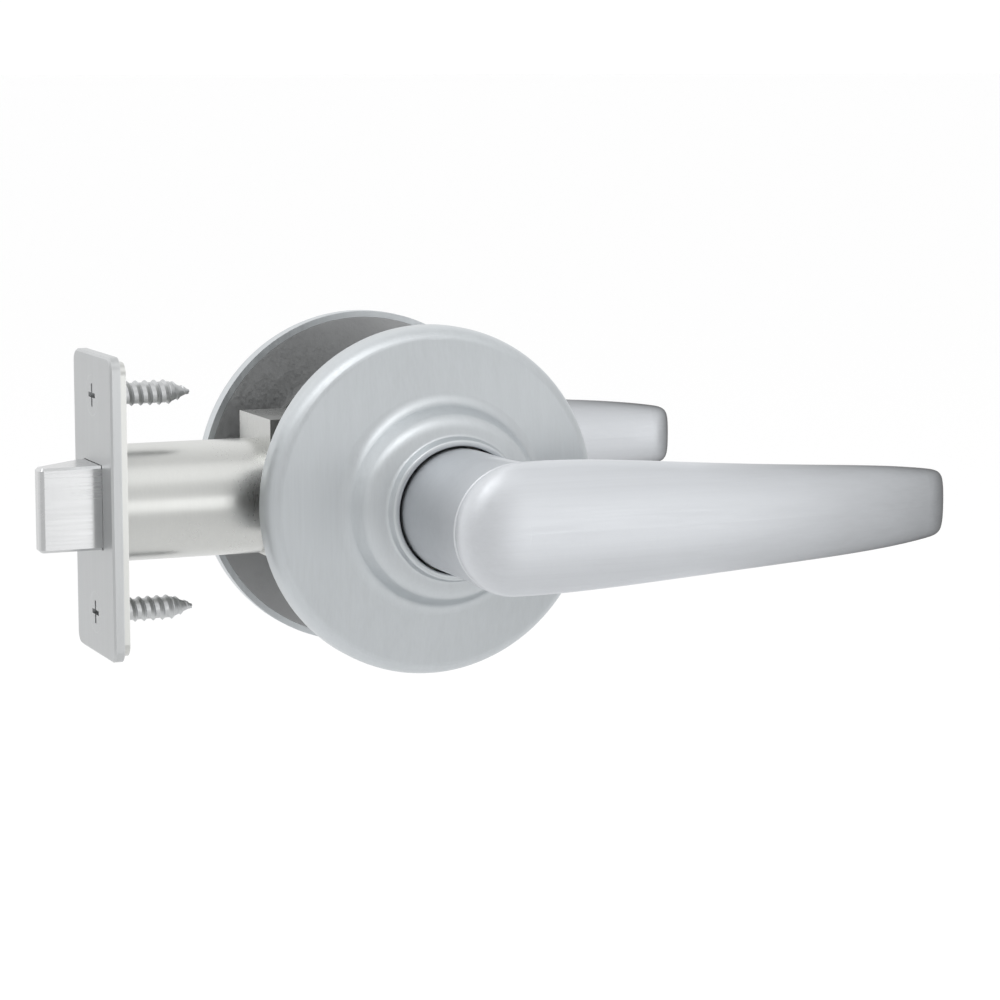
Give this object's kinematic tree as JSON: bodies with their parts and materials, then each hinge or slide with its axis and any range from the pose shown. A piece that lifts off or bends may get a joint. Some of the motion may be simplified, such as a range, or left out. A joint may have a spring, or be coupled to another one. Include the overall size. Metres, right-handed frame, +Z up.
{
  "type": "lever handle lockset",
  "caption": "Passage lever lockset: round stepped roses with tapering levers on both faces of the door, joined by a square spindle to a tubular spring latch.",
  "frame": {"origin": "on the spindle's axis at the middle of the door's thickness, which is the centre of the cross bore", "axes": "+X along the levers, away from the door's edge; -Y out of the door's outer face; +Z up"},
  "size_m": [0.161, 0.137, 0.0666],
  "materials": {
    "satin_metal": "satin brushed plating over zinc",
    "satin_plate": "satin brushed",
    "zinc_casting": "as cast, dull",
    "plated_steel": "bright zinc plating",
    "bolt_metal": "polished working faces",
    "spring_steel": "oiled spring wire",
    "black_steel": "black oxide",
    "white_nylon": "moulded nylon"
  },
  "bodies": {
    "chassis": {"outside_rose": "satin_metal", "outside_housing": "zinc_casting", "outside_bushing": "white_nylon", "outside_cover": "plated_steel", "outside_cover_screws": "plated_steel", "outside_spring": "spring_steel", "inside_rose": "satin_metal", "inside_housing": "zinc_casting", "inside_bushing": "white_nylon", "inside_cover": "plated_steel", "inside_cover_screws": "plated_steel", "inside_spring": "spring_steel", "mounting_screws": "plated_steel", "latch_faceplate": "satin_plate", "latch_backplate": "plated_steel", "faceplate_screws": "satin_plate", "latch_tube": "plated_steel", "bolt_guide": "white_nylon", "bolt_spring": "spring_steel", "case_rivets": "plated_steel", "latch_case_left": "plated_steel", "latch_case_right": "plated_steel"},
    "outer_handle": {"outside_lever": "satin_metal", "outside_spring_hub": "plated_steel", "outside_snap_ring": "spring_steel", "outside_curved_washer": "spring_steel", "outside_set_screw": "black_steel", "spindle": "plated_steel"},
    "inner_handle": {"inside_lever": "satin_metal", "inside_spring_hub": "plated_steel", "inside_snap_ring": "spring_steel", "inside_curved_washer": "spring_steel", "inside_set_screw": "black_steel"},
    "hub": {"latch_hub": "zinc_casting"},
    "bolt": {"latch_bolt": "bolt_metal", "latch_tail": "plated_steel", "retractor": "plated_steel"}
  },
  "joints": [
    {"name": "outside_lever_turn", "type": "hinge", "parent": "chassis", "child": "outer_handle", "pos_m": [0, 0, 0], "axis": [0, 1, 0], "range_deg": [0, 60], "stiffness_Nm_per_rad": 0.35, "springref_deg": -45.84, "deforming": ["outside_spring"]},
    {"name": "inside_lever_turn", "type": "hinge", "parent": "chassis", "child": "inner_handle", "pos_m": [0, 0, 0], "axis": [0, 1, 0], "range_deg": [0, 60], "stiffness_Nm_per_rad": 0.35, "springref_deg": -45.84, "deforming": ["inside_spring"]},
    {"name": "hub_turn", "type": "hinge", "parent": "chassis", "child": "hub", "pos_m": [0, 0, 0], "axis": [0, 1, 0], "range_deg": [0, 60]},
    {"name": "bolt_slide", "type": "slide", "parent": "chassis", "child": "bolt", "axis": [1, 0, 0], "range_m": [0, 0.0115], "stiffness_N_per_m": 250, "springref_m": -0.02, "deforming": ["bolt_spring"]}
  ],
  "couplings": [
    {"joint": "inside_lever_turn", "follows": "outside_lever_turn", "ratio": 1},
    {"joint": "hub_turn", "follows": "outside_lever_turn", "ratio": 1},
    {"joint": "bolt_slide", "follows": "outside_lever_turn", "m_per_rad": 0.010982}
  ]
}
